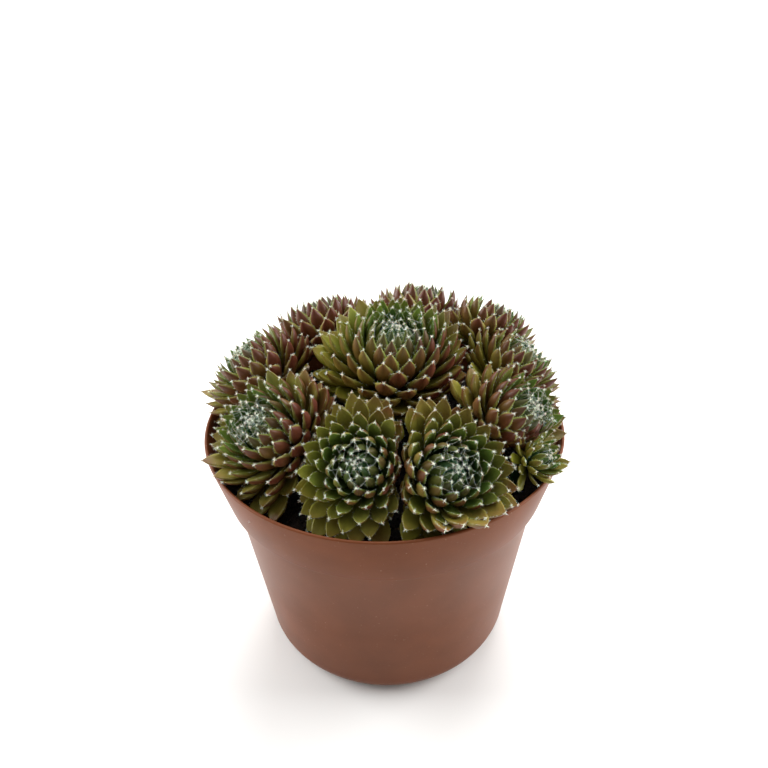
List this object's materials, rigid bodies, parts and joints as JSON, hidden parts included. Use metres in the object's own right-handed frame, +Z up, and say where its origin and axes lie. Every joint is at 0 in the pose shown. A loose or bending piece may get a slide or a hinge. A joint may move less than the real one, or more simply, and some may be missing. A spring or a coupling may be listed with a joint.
{
  "type": "potted houseleek",
  "caption": "Hens and chicks: a large succulent rosette ringed by smaller ones that fill a round brown plastic nursery pot.",
  "frame": {"origin": "centre of the circle that the pot stands on", "axes": "+Z up along the pot's axis, -Y towards the viewer of the picture, +X to the right"},
  "size_m": [0.1359, 0.1323, 0.1344],
  "materials": {
    "pot": "satin",
    "soil": "matte",
    "leaf_green": "satin",
    "leaf_red": "satin"
  },
  "bodies": {
    "root": {"pot": "pot", "soil": "soil", "hen": "leaf_green", "chick_front": "leaf_green", "chick_front_right": "leaf_green", "chick_right": "leaf_green", "chick_right_rear": "leaf_green", "chick_rear_right": "leaf_green", "chick_rear": "leaf_red", "chick_rear_left": "leaf_red", "chick_left": "leaf_green", "chick_front_left": "leaf_green", "offset_right": "leaf_green"}
  },
  "joints": []
}
